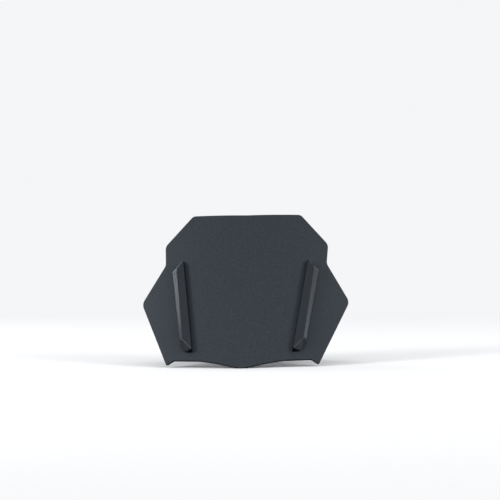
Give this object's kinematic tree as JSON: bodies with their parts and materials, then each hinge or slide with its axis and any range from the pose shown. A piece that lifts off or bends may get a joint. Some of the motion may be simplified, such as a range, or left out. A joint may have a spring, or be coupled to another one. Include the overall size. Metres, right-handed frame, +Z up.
{
  "type": "windshield screen",
  "caption": "Bowed and raked motorcycle windshield screen with faceted fixing covers, on lever arms raised and lowered by a side knob.",
  "frame": {"origin": "midway between the two mounting feet, on the plane of their undersides", "axes": "+Z up, -Y to the front of the motorcycle, +X to the rider's left"},
  "size_m": [0.3804, 0.2352, 0.2744],
  "materials": {
    "panel": "fine matte grain, charcoal",
    "cover": "semi-gloss black",
    "rubber": "matte black",
    "brass": "knurled, as turned",
    "zinc": "zinc plated",
    "black_steel": "black powder coat",
    "black_aluminium": "black anodised",
    "nylon": "natural nylon",
    "knob": "matte black"
  },
  "bodies": {
    "base": {"cross_bolt_left": "zinc", "cross_bolt_right": "zinc", "cross_tube": "black_steel", "friction_washer": "zinc", "pinion_bearing": "nylon", "pivot_bolt_left": "zinc", "pivot_bolt_right": "zinc", "side_bracket_left": "black_steel", "side_bracket_right": "black_steel", "tie_tube": "black_steel", "torque_bush_left": "nylon", "torque_bush_right": "nylon"},
    "lower_levers": {"hub_bolt_left": "zinc", "hub_bolt_right": "zinc", "lower_lever_left": "black_aluminium", "lower_lever_right": "black_aluminium", "sector_gear": "zinc", "torque_tube": "black_steel"},
    "upper_lever_left": {"upper_lever_left": "black_aluminium"},
    "upper_lever_right": {"upper_lever_right": "black_aluminium"},
    "screen": {"arm_brace_tube": "black_steel", "arm_left": "black_aluminium", "arm_right": "black_aluminium", "brace_bolt_left": "zinc", "brace_bolt_right": "zinc", "cover_left": "cover", "cover_right": "cover", "grommet_left_lower": "rubber", "grommet_left_upper": "rubber", "grommet_right_lower": "rubber", "grommet_right_upper": "rubber", "insert_left_lower": "brass", "insert_left_upper": "brass", "insert_right_lower": "brass", "insert_right_upper": "brass", "pivot_nut_left_lower": "zinc", "pivot_nut_left_upper": "zinc", "pivot_nut_right_lower": "zinc", "pivot_nut_right_upper": "zinc", "pivot_pin_left_lower": "zinc", "pivot_pin_left_upper": "zinc", "pivot_pin_right_lower": "zinc", "pivot_pin_right_upper": "zinc", "screen_panel": "panel", "screen_screw_left_lower": "black_steel", "screen_screw_left_upper": "black_steel", "screen_screw_right_lower": "black_steel", "screen_screw_right_upper": "black_steel", "sleeve_left_lower": "zinc", "sleeve_left_upper": "zinc", "sleeve_right_lower": "zinc", "sleeve_right_upper": "zinc", "washer_left_lower": "zinc", "washer_left_upper": "zinc", "washer_right_lower": "zinc", "washer_right_upper": "zinc"},
    "knob": {"knob": "knob", "knob_screw": "zinc", "pinion_shaft": "zinc"}
  },
  "joints": [
    {"name": "screen_lift", "type": "hinge", "parent": "base", "child": "lower_levers", "pos_m": [0, -0.017, 0.04], "axis": [-1, 0, 0], "range_deg": [0, 44]},
    {"name": "upper_lever_left_hinge", "type": "hinge", "parent": "base", "child": "upper_lever_left", "pos_m": [0, 0.01009, 0.07467], "axis": [-1, 0, 0], "range_deg": [0, 44]},
    {"name": "upper_lever_right_hinge", "type": "hinge", "parent": "base", "child": "upper_lever_right", "pos_m": [0, 0.01009, 0.07467], "axis": [-1, 0, 0], "range_deg": [0, 44]},
    {"name": "screen_hinge", "type": "hinge", "parent": "lower_levers", "child": "screen", "pos_m": [0, -0.07468, 0.05654], "axis": [-1, 0, 0], "range_deg": [-44, 0]},
    {"name": "knob_turn", "type": "hinge", "parent": "base", "child": "knob", "pos_m": [0, 0.02141, 0.03323], "axis": [1, 0, 0], "range_deg": [0, 242.5]}
  ],
  "couplings": [
    {"joint": "upper_lever_left_hinge", "follows": "screen_lift", "ratio": 1},
    {"joint": "upper_lever_right_hinge", "follows": "screen_lift", "ratio": 1},
    {"joint": "screen_hinge", "follows": "screen_lift", "ratio": -1},
    {"joint": "knob_turn", "follows": "screen_lift", "ratio": 5.5}
  ]
}
